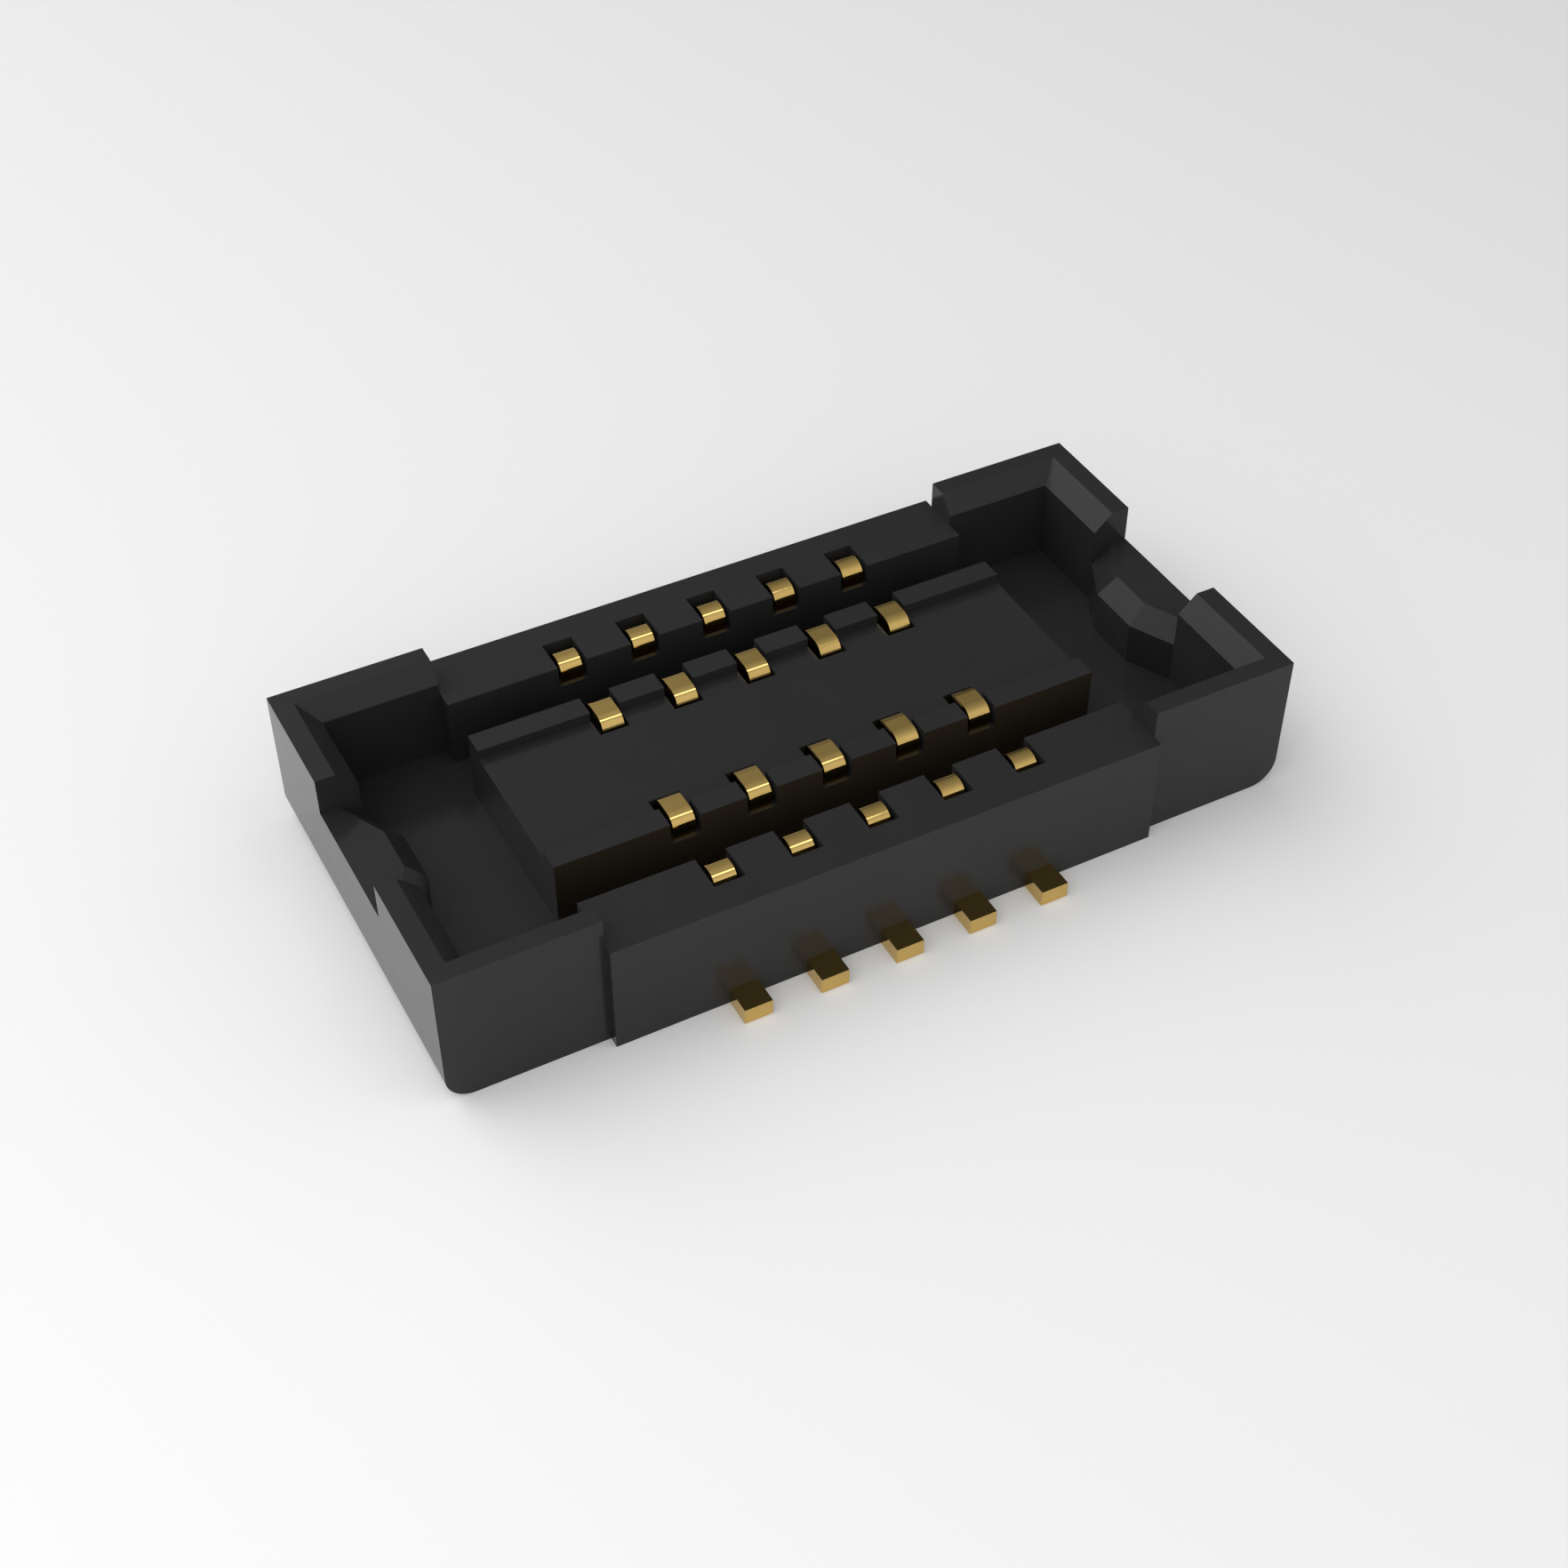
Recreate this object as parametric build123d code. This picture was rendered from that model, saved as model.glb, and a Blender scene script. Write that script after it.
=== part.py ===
from build123d import *
import os

os.makedirs("parts", exist_ok=True)

# Board to board connector with ten contacts in two rows. All sizes are in millimetres.
# X runs along the rows, Y from the front row to the back row and Z up from the circuit board.
# The origin is the middle of the underside.

# Housing, outside
body_length = 4.492
tower_width = 2.096
tower_height = 0.765
foot_radius = 0.140
centre_length = 2.898
centre_width = 2.214
wall_height = 0.616

# Housing, inside
floor_thickness = 0.240
end_wall = 0.202
tower_wall = 0.187
centre_wall = 0.349
mouth_depth = 0.096
mouth_end_flare = 0.100
mouth_side_flare = 0.090

# Notch in each end wall and the guide block that stands inside it
notch_width = 0.760
notch_depth = 0.200
block_reach = 0.114
block_nose = 0.296
block_chamfer = 0.097

# Island between the rows, with a low ridge along each side
island_length = 2.898
island_width = 1.010
ridge_width = 0.124
recess_depth = 0.051

# Contact strip
contacts_per_row = 5
pitch = 0.400
strip_width = 0.115
strip_thickness = 0.050
strip_shift = 0.016
bend_radius = 0.050

# Solder tail, on the pitch, with the strip a little to its right
tail_width = 0.145
tail_thickness = 0.087
tail_reach = 0.150

# Fold of the strip in the wall, and the wider one in the island
fold_radius = 0.070
wall_fold_width = 0.152
wall_fold_inset = 0.012
island_fold_width = 0.213
island_fold_inset = 0.012

# Hidden run of the strip below the cavity floor, and how deep its end is held in the island
run_cover = 0.020
held_length = 0.330

# Slots that leave the folds free
slot_depth = 0.121
slot_side_gap = 0.0215
wall_slot_gap = 0.033
island_slot_gap = 0.015

# Places that several features share
end_face = body_length / 2 - end_wall
tower_face = tower_width / 2 - tower_wall
wall_face = centre_width / 2 - centre_wall
island_face = island_width / 2
wall_fold_face = wall_face + wall_fold_inset
wall_fold_back = wall_fold_face + wall_fold_width
island_fold_face = island_face - island_fold_inset
island_fold_back = island_fold_face - island_fold_width
tail_tip = centre_width / 2 + tail_reach
slot_floor = wall_height - slot_depth


def span_box(x0, x1, y0, y1, z0, z1):
    """Block between two limits in each direction."""
    middle = Pos((x0 + x1) / 2, (y0 + y1) / 2, (z0 + z1) / 2)
    return middle * Box(abs(x1 - x0), abs(y1 - y0), abs(z1 - z0))


def at_both_ends(solid):
    """The feature of the right end and its mirror image at the left end."""
    return solid + mirror(solid, about=Plane.YZ)


# Outer form: a long body with rounded ends at its foot, lower and slightly wider in the middle
def outer_form():
    seated = (Align.CENTER, Align.CENTER, Align.MIN)
    towers = Box(body_length, tower_width, tower_height, align=seated)
    foot_edges = towers.edges().group_by(Axis.Z)[0].filter_by(Axis.Y)
    towers = fillet(foot_edges, foot_radius)
    above_walls = span_box(-centre_length / 2, centre_length / 2, -tower_width, tower_width,
                           wall_height, 2 * tower_height)
    centre = Box(centre_length, centre_width, wall_height, align=seated)
    return towers - above_walls + centre


# Cavity inside one tower, with a mouth that flares out to guide the mating half
def tower_cavity():
    start = centre_length / 2
    well = span_box(start, end_face, -tower_face, tower_face, floor_thickness, tower_height)
    throat_width = 2 * tower_face
    mouth_end = end_face + mouth_end_flare
    mouth_width = throat_width + 2 * mouth_side_flare
    throat_plane = Plane.XY.offset(tower_height - mouth_depth)
    throat = throat_plane * Pos((start + end_face) / 2, 0) * Rectangle(end_face - start, throat_width)
    rim_plane = Plane.XY.offset(tower_height)
    rim = rim_plane * Pos((start + mouth_end) / 2, 0) * Rectangle(mouth_end - start, mouth_width)
    return well + loft(Sketch() + [throat, rim])


# Opening across one end wall, down to the foot of the guide block's chamfer
def end_notch():
    bottom = tower_height - notch_depth - block_chamfer
    return span_box(end_face, body_length, -notch_width / 2, notch_width / 2, bottom, 2 * tower_height)


# Guide block: a tapered nose that stands in from the end wall and fills the notch to its floor
def guide_block():
    nose = end_face - block_reach
    outline = Polyline(
        (body_length / 2, notch_width / 2),
        (end_face, notch_width / 2),
        (nose, block_nose / 2),
        (nose, -block_nose / 2),
        (end_face, -notch_width / 2),
        (body_length / 2, -notch_width / 2),
        close=True,
    )
    height = tower_height - notch_depth - floor_thickness
    block = extrude(Plane.XY.offset(floor_thickness) * make_face(outline), amount=height)
    top_edges = block.faces().sort_by(Axis.Z)[-1].edges()
    inner_edges = [edge for edge in top_edges if edge.center().X < end_face]
    return chamfer(inner_edges, block_chamfer)


# Island: one long bar with a shallow recess along the middle of its top, open at both ends
def island():
    bar = span_box(-island_length / 2, island_length / 2, -island_face, island_face, 0, wall_height)
    inner_edge = island_face - ridge_width
    recess = span_box(-island_length, island_length, -inner_edge, inner_edge,
                      wall_height - recess_depth, 2 * wall_height)
    return bar - recess


# Side views are drawn with Y to the right and Z upwards
def side_rectangle(y0, y1, z0, z1):
    middle = Pos((y0 + y1) / 2, (z0 + z1) / 2)
    return middle * Rectangle(abs(y1 - y0), abs(z1 - z0))


def side_arch(y0, y1, foot, crest, radius):
    """Rectangle with its two upper corners rounded."""
    upright = side_rectangle(y0, y1, foot, crest)
    return fillet(upright.vertices().group_by(Axis.Y)[-1], radius)


# Side view of a fold: two legs joined by a flat top, which lies flush with the wall and the island
def fold(y0, y1, foot0, foot1):
    foot = min(foot0, foot1)
    middle = (y0 + y1) / 2
    inward = strip_thickness if y1 > y0 else -strip_thickness
    hollow = side_arch(y0 + inward, y1 - inward, foot, wall_height - strip_thickness,
                       fold_radius - strip_thickness)
    folded = side_arch(y0, y1, foot, wall_height, fold_radius) - hollow
    if foot0 > foot:
        folded = folded - side_rectangle(y0, middle, foot, foot0)
    if foot1 > foot:
        folded = folded - side_rectangle(middle, y1, foot, foot1)
    return folded


def round_corners(profile, corners, radius):
    """Round the named hidden corners of a side view. With no radius they stay square."""
    if radius == 0:
        return profile
    chosen = []
    for corner in corners:
        chosen.append(profile.vertices().sort_by_distance((corner[0], corner[1], 0))[0])
    return fillet(chosen, radius)


# One contact of the back row: tail, fold in the wall, run below the floor, fold in the island
def contact(corner_radius):
    run_end = wall_fold_face + strip_thickness
    run_start = island_fold_face - strip_thickness
    tail_start = wall_fold_back - strip_thickness
    wall_fold = fold(wall_fold_face, wall_fold_back, run_cover, 0)
    island_fold = fold(island_fold_face, island_fold_back, run_cover, wall_height - held_length)
    run = side_rectangle(run_start, run_end, run_cover, run_cover + strip_thickness)
    side_view = wall_fold + run + island_fold
    hidden = [(tail_start, 0), (run_end, run_cover), (run_start, run_cover)]
    side_view = round_corners(side_view, hidden, corner_radius)
    strip = extrude(Plane.YZ * side_view, amount=strip_width / 2, both=True)

    tail_view = side_rectangle(tail_start, tail_tip, 0, tail_thickness)
    tail_view = round_corners(tail_view, [(tail_start, 0)], corner_radius)
    tail = extrude(Plane.YZ * tail_view, amount=tail_width / 2, both=True)
    return Pos(strip_shift, 0, 0) * strip + tail


# Slots for one contact of the back row, round its two folds
def contact_slots():
    side = strip_width / 2 + slot_side_gap
    left = strip_shift - side
    right = strip_shift + side
    top = 2 * wall_height
    in_wall = span_box(left, right, 0.5 * (island_face + wall_face), wall_fold_back + wall_slot_gap,
                       slot_floor, top)
    in_island = span_box(left, right, island_fold_back - island_slot_gap,
                         0.5 * (island_face + wall_face), slot_floor, top)
    return in_wall + in_island


# The same for both rows, at every place along the pitch
def contact_places(back_row_shape):
    front_row_shape = mirror(back_row_shape, about=Plane.XZ)
    placed = {}
    for number in range(contacts_per_row):
        along = (number - (contacts_per_row - 1) / 2) * pitch
        placed[f"contact_front_{number + 1}"] = Pos(along, 0, 0) * front_row_shape
        placed[f"contact_back_{number + 1}"] = Pos(along, 0, 0) * back_row_shape
    return placed


# Housing: the outer form, opened by its cavity and notches, with blocks and island left standing
def make_housing():
    form = outer_form()
    centre_cavity = span_box(-centre_length / 2, centre_length / 2, -wall_face, wall_face,
                             floor_thickness, 2 * tower_height)
    body = form - centre_cavity - at_both_ends(tower_cavity()) - at_both_ends(end_notch())
    body = body + (form & at_both_ends(guide_block())) + island()
    for slots in contact_places(contact_slots()).values():
        body = body - slots
    # The plastic is moulded round each strip, so its passage has the strip's own section.
    for passage in contact_places(contact(0)).values():
        body = body - passage
    return body


pieces = {"housing": make_housing()}
pieces.update(contact_places(contact(bend_radius)))

for name, piece in pieces.items():
    piece.label = name
    export_step(piece, f"parts/{name}.step")
    print(name, round(piece.volume, 6), "mm3", len(piece.solids()), "solid", len(piece.faces()), "faces")
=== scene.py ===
import math
import bpy
from mathutils import Matrix, Vector

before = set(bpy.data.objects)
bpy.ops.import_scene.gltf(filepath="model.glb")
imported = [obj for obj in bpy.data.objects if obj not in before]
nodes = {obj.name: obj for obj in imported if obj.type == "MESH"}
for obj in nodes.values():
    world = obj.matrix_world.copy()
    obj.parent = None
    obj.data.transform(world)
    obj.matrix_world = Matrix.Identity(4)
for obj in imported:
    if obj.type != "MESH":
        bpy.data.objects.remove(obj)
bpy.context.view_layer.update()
MM = 0.001

# Camera at the photograph's viewing angle, with lengths in millimetres and angles in degrees
CAMERA_PLACE = (-4.1336, -7.7616, 8.2811)
CAMERA_AZIMUTH = -118.0268
CAMERA_ELEVATION = 42.9943
SENSOR_WIDTH = 36.0
LENS = 55.09
CLIP_NEAR, CLIP_FAR = 0.5, 2000

# Colours and gloss, where a pair gives the two ends of a slight unevenness
PLASTIC_COLOURS = (0.0187, 0.0187, 0.0189), (0.0213, 0.0213, 0.0214)
GOLD_COLOURS = (0.65, 0.45, 0.145), (0.69, 0.48, 0.16)
# Dark brown painted on the island's long sides as a reflection of the gold contacts
PAINTED_GOLD_REFLECTION_BROWN = (0.027, 0.021, 0.0135)
PLASTIC_ROUGHNESS = 0.15, 0.20
GOLD_ROUGHNESS = 0.055, 0.095
PLASTIC_IOR = 1.29

# Long sides of the island, where a reflection of the gold contacts is painted, in millimetres, and how
# squarely a surface there has to face along Y
ISLAND_SIDE = 0.505
ISLAND_SIDE_MARGIN = 0.004
ISLAND_HALF_LENGTH = 1.4485
FACING_SIDEWAYS = 0.9

# Most values of a noise lie between these two
NOISE_LOW, NOISE_HIGH = 0.25, 0.75

# Rolling lines of the gold: close together along the rows, and long down each strip
ROLLING_LINE_SCALE = (90.0, 6.0, 6.0)

# Floor, with its half size and its drop below the part in millimetres. Its grey, painted shade that
# falls off across the floor, is one over the base plus each slope times the place in millimetres, kept
# between darkest and palest.
FLOOR_HALF_SIZE = 250
FLOOR_DROP = 0.002
FLOOR_BASE, FLOOR_SLOPE_X, FLOOR_SLOPE_Y = 1.184, 0.0283, 0.0055
FLOOR_DARKEST, FLOOR_PALEST = 0.66, 0.985
FLOOR_ROUGHNESS = 0.9

# Strip lamp that draws the bright line on the contacts' folds, with lengths in millimetres
LAMP_DIRECTION = (0.29, -0.25, 0.925)
LAMP_DISTANCE = 50
LAMP_WIDTH, LAMP_HEIGHT = 8, 8.5
LAMP_RADIANCE = 2.6

# Sky: an even level, then softboxes and dark gaps, each as azimuth, elevation and spread in degrees
# and the level in its middle
SKY_LEVEL = 0.76
SKY = [
    (48, 41, 20, -0.38),
    (75, 41, 16, -0.15),
    (150, 58, 18, 1.50),
    (107, 20, 20, 0.46),
    (-118, 42, 20, 0.74),
    (28, 6, 14, -0.32),
    (180, 45, 14, -0.28),
    (-66, 18, 12, -0.13),
    (122, 35, 15, 0.80),
    (134, 31, 9, -0.35),
    (-20, 35, 18, -0.26),
    (-150, 20, 20, 0.21),
    (-105, 12, 20, 0.30),
    (-30, 12, 20, 0.26),
    (10, 62, 16, -0.24),
    (-100, 68, 14, -0.51),
    (60, 12, 14, -0.61),
]


def direction(azimuth, elevation):
    """Direction from degrees of azimuth, from +X towards +Y, and of elevation."""
    azimuth, elevation = math.radians(azimuth), math.radians(elevation)
    flat = math.cos(elevation)
    return (flat * math.cos(azimuth), flat * math.sin(azimuth), math.sin(elevation))


def add_object(name, data):
    obj = bpy.data.objects.new(name, data)
    bpy.context.scene.collection.objects.link(obj)
    return obj


def add_camera():
    data = bpy.data.cameras.new("camera")
    data.sensor_width = SENSOR_WIDTH
    data.lens = LENS
    data.clip_start, data.clip_end = CLIP_NEAR * MM, CLIP_FAR * MM
    camera = add_object("camera", data)
    camera.location = Vector(CAMERA_PLACE) * MM
    view = -Vector(direction(CAMERA_AZIMUTH, CAMERA_ELEVATION))
    camera.rotation_mode = "QUATERNION"
    camera.rotation_quaternion = view.to_track_quat("-Z", "Y")
    bpy.context.scene.camera = camera


# Node helpers
def new_material(name):
    material = bpy.data.materials.new(name)
    material.use_nodes = True
    tree = material.node_tree
    return material, tree, tree.nodes["Principled BSDF"]


def new_node(tree, kind, **values):
    node = tree.nodes.new(kind)
    for key, value in values.items():
        setattr(node, key, value)
    return node


def set_input(tree, socket, value):
    """Set a socket to a plain value, or link it to another node's output."""
    if isinstance(value, bpy.types.NodeSocket):
        tree.links.new(value, socket)
    elif isinstance(value, tuple) and socket.type == "RGBA":
        socket.default_value = (*value, 1.0)
    else:
        socket.default_value = value


def math_node(tree, operation, *values):
    node = new_node(tree, "ShaderNodeMath", operation=operation)
    for socket, value in zip(node.inputs, values):
        set_input(tree, socket, value)
    return node.outputs[0]


def separate(tree, vector):
    node = new_node(tree, "ShaderNodeSeparateXYZ")
    set_input(tree, node.inputs[0], vector)
    return node.outputs


def millimetre_coords(tree):
    """Texture coordinates, and from them the place in millimetres in the row frame."""
    coords = new_node(tree, "ShaderNodeTexCoord")
    scale = new_node(tree, "ShaderNodeVectorMath", operation="SCALE")
    set_input(tree, scale.inputs[0], coords.outputs["Object"])
    set_input(tree, scale.inputs["Scale"], 1 / MM)
    return coords, scale.outputs[0]


def noise(tree, vector, scale, detail, roughness):
    """Noise over a place in millimetres, with about scale spots to the millimetre."""
    node = new_node(tree, "ShaderNodeTexNoise")
    set_input(tree, node.inputs["Vector"], vector)
    set_input(tree, node.inputs["Scale"], scale)
    set_input(tree, node.inputs["Detail"], detail)
    set_input(tree, node.inputs["Roughness"], roughness)
    return node.outputs["Fac"]


def spread_noise(tree, value, low, high):
    """Spread a noise over the range from low to high."""
    node = new_node(tree, "ShaderNodeMapRange")
    set_input(tree, node.inputs["Value"], value)
    set_input(tree, node.inputs["From Min"], NOISE_LOW)
    set_input(tree, node.inputs["From Max"], NOISE_HIGH)
    set_input(tree, node.inputs["To Min"], low)
    set_input(tree, node.inputs["To Max"], high)
    return node.outputs["Result"]


def mix_colour(tree, factor, a, b):
    node = new_node(tree, "ShaderNodeMix", data_type="RGBA")
    factor_socket, a_socket, b_socket = node.inputs[0], node.inputs[6], node.inputs[7]
    set_input(tree, factor_socket, factor)
    set_input(tree, a_socket, a)
    set_input(tree, b_socket, b)
    return node.outputs[2]


def add_bump(tree, shader, height, strength, distance):
    bump = new_node(tree, "ShaderNodeBump")
    set_input(tree, bump.inputs["Height"], height)
    set_input(tree, bump.inputs["Strength"], strength)
    set_input(tree, bump.inputs["Distance"], distance * MM)
    set_input(tree, shader.inputs["Normal"], bump.outputs["Normal"])


def on_island_side(tree, coords, at):
    """1 on the island's two long sides, where a reflection of the gold contacts is painted, and 0
    elsewhere.
    """
    x, y, _ = separate(tree, at)
    facing_y = separate(tree, coords.outputs["Normal"])[1]
    off_side = math_node(tree, "ABSOLUTE",
                         math_node(tree, "SUBTRACT", math_node(tree, "ABSOLUTE", y), ISLAND_SIDE))
    on_side = math_node(tree, "LESS_THAN", off_side, ISLAND_SIDE_MARGIN)
    sideways = math_node(tree, "GREATER_THAN", math_node(tree, "ABSOLUTE", facing_y), FACING_SIDEWAYS)
    within = math_node(tree, "LESS_THAN", math_node(tree, "ABSOLUTE", x), ISLAND_HALF_LENGTH)
    return math_node(tree, "MULTIPLY", math_node(tree, "MULTIPLY", on_side, sideways), within)


# Moulded black plastic, with a very fine eroded grain, slightly uneven gloss and a painted reflection of
# the gold contacts, dark brown, on the island's long sides
def plastic_material():
    material, tree, shader = new_material("housing_plastic")
    coords, at = millimetre_coords(tree)
    cloud = noise(tree, at, scale=2.6, detail=3.0, roughness=0.55)
    colour = mix_colour(tree, spread_noise(tree, cloud, 0.0, 1.0), *PLASTIC_COLOURS)
    # paint the reflection of the gold contacts, dark brown, on the island's long sides
    colour = mix_colour(tree, on_island_side(tree, coords, at), colour, PAINTED_GOLD_REFLECTION_BROWN)
    set_input(tree, shader.inputs["Base Color"], colour)
    gloss = noise(tree, at, scale=7.0, detail=4.0, roughness=0.6)
    set_input(tree, shader.inputs["Roughness"], spread_noise(tree, gloss, *PLASTIC_ROUGHNESS))
    set_input(tree, shader.inputs["IOR"], PLASTIC_IOR)
    grain = noise(tree, at, scale=130.0, detail=3.0, roughness=0.6)
    add_bump(tree, shader, grain, strength=0.05, distance=0.002)
    return material


# Gold plating over stamped metal, with fine rolling lines along the strip
def gold_material():
    material, tree, shader = new_material("contact_gold")
    _, at = millimetre_coords(tree)
    cloud = noise(tree, at, scale=9.0, detail=2.0, roughness=0.5)
    colour = mix_colour(tree, spread_noise(tree, cloud, 0.0, 1.0), *GOLD_COLOURS)
    set_input(tree, shader.inputs["Base Color"], colour)
    set_input(tree, shader.inputs["Metallic"], 1.0)
    stretch = new_node(tree, "ShaderNodeMapping")
    set_input(tree, stretch.inputs["Vector"], at)
    set_input(tree, stretch.inputs["Scale"], ROLLING_LINE_SCALE)
    lines = noise(tree, stretch.outputs[0], scale=1.0, detail=3.0, roughness=0.6)
    set_input(tree, shader.inputs["Roughness"], spread_noise(tree, lines, *GOLD_ROUGHNESS))
    add_bump(tree, shader, lines, strength=0.04, distance=0.001)
    return material


def dress():
    plastic = plastic_material()
    gold = gold_material()
    for name, obj in nodes.items():
        obj.data.materials.clear()
        obj.data.materials.append(plastic if name == "housing" else gold)


# Pale floor, palest at the front left, with painted shade that greys it towards the back right
def floor_material():
    material, tree, shader = new_material("floor_pale")
    _, at = millimetre_coords(tree)
    x, y, _ = separate(tree, at)
    # painted shade: the floor's grey falls off towards the back right
    along_y = math_node(tree, "MULTIPLY_ADD", y, FLOOR_SLOPE_Y, FLOOR_BASE)
    along_both = math_node(tree, "MULTIPLY_ADD", x, FLOOR_SLOPE_X, along_y)
    level = math_node(tree, "MAXIMUM", math_node(tree, "DIVIDE", 1.0, along_both), FLOOR_DARKEST)
    level = math_node(tree, "MINIMUM", level, FLOOR_PALEST)
    grey = new_node(tree, "ShaderNodeCombineColor")
    for socket in grey.inputs:
        set_input(tree, socket, level)
    set_input(tree, shader.inputs["Base Color"], grey.outputs[0])
    set_input(tree, shader.inputs["Roughness"], FLOOR_ROUGHNESS)
    set_input(tree, shader.inputs["Specular IOR Level"], 0.0)
    return material


def add_floor():
    half = FLOOR_HALF_SIZE * MM
    corners = [(-half, -half, 0), (half, -half, 0), (half, half, 0), (-half, half, 0)]
    mesh = bpy.data.meshes.new("floor")
    mesh.from_pydata(corners, [], [(0, 1, 2, 3)])
    mesh.materials.append(floor_material())
    floor = add_object("floor", mesh)
    # a hair below the part, so that its underside and the floor don't coincide
    floor.location.z = -FLOOR_DROP * MM


# Soft studio light
def add_strip_lamp():
    """Rectangular lamp that faces the origin, with its width along the rows."""
    width, height = LAMP_WIDTH * MM, LAMP_HEIGHT * MM
    data = bpy.data.lights.new("strip", "AREA")
    data.shape = "RECTANGLE"
    data.size, data.size_y = width, height
    # the watts that give this radiance
    data.energy = LAMP_RADIANCE * math.pi * width * height
    towards = Vector(LAMP_DIRECTION).normalized()
    upwards = towards.cross(Vector((1, 0, 0))).normalized()
    lamp = add_object("strip", data)
    lamp.location = towards * LAMP_DISTANCE * MM
    lamp.rotation_mode = "QUATERNION"
    axes = Matrix((upwards.cross(towards), upwards, towards)).transposed()
    lamp.rotation_quaternion = axes.to_quaternion()


def glow(tree, at, azimuth, elevation, spread):
    """Soft round patch of the sky, 1 in its middle."""
    dot = new_node(tree, "ShaderNodeVectorMath", operation="DOT_PRODUCT")
    set_input(tree, dot.inputs[0], at)
    set_input(tree, dot.inputs[1], direction(azimuth, elevation))
    off_middle = math_node(tree, "SUBTRACT", dot.outputs["Value"], 1.0)
    return math_node(tree, "EXPONENT", math_node(tree, "DIVIDE", off_middle, math.radians(spread) ** 2))


def add_sky():
    world = bpy.data.worlds.new("studio")
    bpy.context.scene.world = world
    world.use_nodes = True
    tree = world.node_tree
    at = new_node(tree, "ShaderNodeTexCoord").outputs["Generated"]
    total = SKY_LEVEL
    for azimuth, elevation, spread, level in SKY:
        total = math_node(tree, "MULTIPLY_ADD", glow(tree, at, azimuth, elevation, spread), level, total)
    total = math_node(tree, "MAXIMUM", total, 0.0)
    background = tree.nodes["Background"]
    set_input(tree, background.inputs["Color"], (1.0, 1.0, 1.0))
    set_input(tree, background.inputs["Strength"], total)


add_camera()
dress()
add_floor()
add_sky()
add_strip_lamp()
bpy.context.scene.view_settings.view_transform = "Standard"

bpy.context.view_layer.update()
